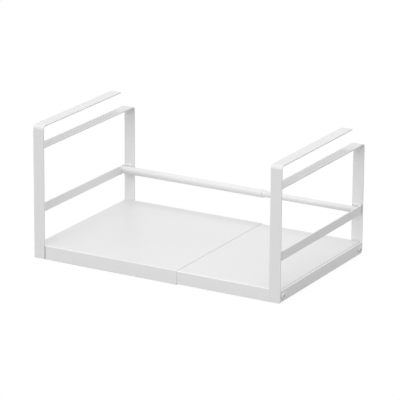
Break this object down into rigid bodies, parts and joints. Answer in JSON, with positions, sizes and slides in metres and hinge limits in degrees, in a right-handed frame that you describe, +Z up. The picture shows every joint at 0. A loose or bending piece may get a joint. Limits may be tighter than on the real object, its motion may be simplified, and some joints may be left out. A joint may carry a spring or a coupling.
{
  "type": "expandable storage rack",
  "caption": "Under-shelf rack: two bent flat-bar side frames hang on a shelf board and carry a telescoping sheet-steel tray and a telescoping rear rail.",
  "frame": {"origin": "centre of the footprint at the rest width, on the plane of the frames' lower ends", "axes": "+X along the width towards the half that slides, +Y to the rear, +Z up"},
  "size_m": [0.3986, 0.25, 0.196],
  "materials": {
    "frame_paint": "satin white powder coat",
    "tray_paint": "satin white powder coat",
    "screw_paint": "satin white powder coat",
    "white_plastic": "moulded, satin",
    "zinc_steel": "zinc plated"
  },
  "bodies": {
    "left_half": {"left_front_hanger": "frame_paint", "left_rear_hanger": "frame_paint", "left_mid_rail": "frame_paint", "left_side_rail": "frame_paint", "outer_tray": "tray_paint", "outer_tube": "frame_paint", "tube_bush": "white_plastic", "left_tray_screw_front": "screw_paint", "left_tray_screw_rear": "screw_paint", "left_tray_nut_front": "zinc_steel", "left_tray_nut_rear": "zinc_steel"},
    "right_half": {"right_front_hanger": "frame_paint", "right_rear_hanger": "frame_paint", "right_mid_rail": "frame_paint", "right_side_rail": "frame_paint", "inner_tray": "tray_paint", "inner_tube": "frame_paint", "tube_plug": "white_plastic", "right_tray_screw_front": "screw_paint", "right_tray_screw_rear": "screw_paint", "right_tray_nut_front": "zinc_steel", "right_tray_nut_rear": "zinc_steel"}
  },
  "joints": [
    {"name": "width_slide", "type": "slide", "parent": "left_half", "child": "right_half", "axis": [1, 0, 0], "range_m": [-0.1425, 0.04]}
  ]
}
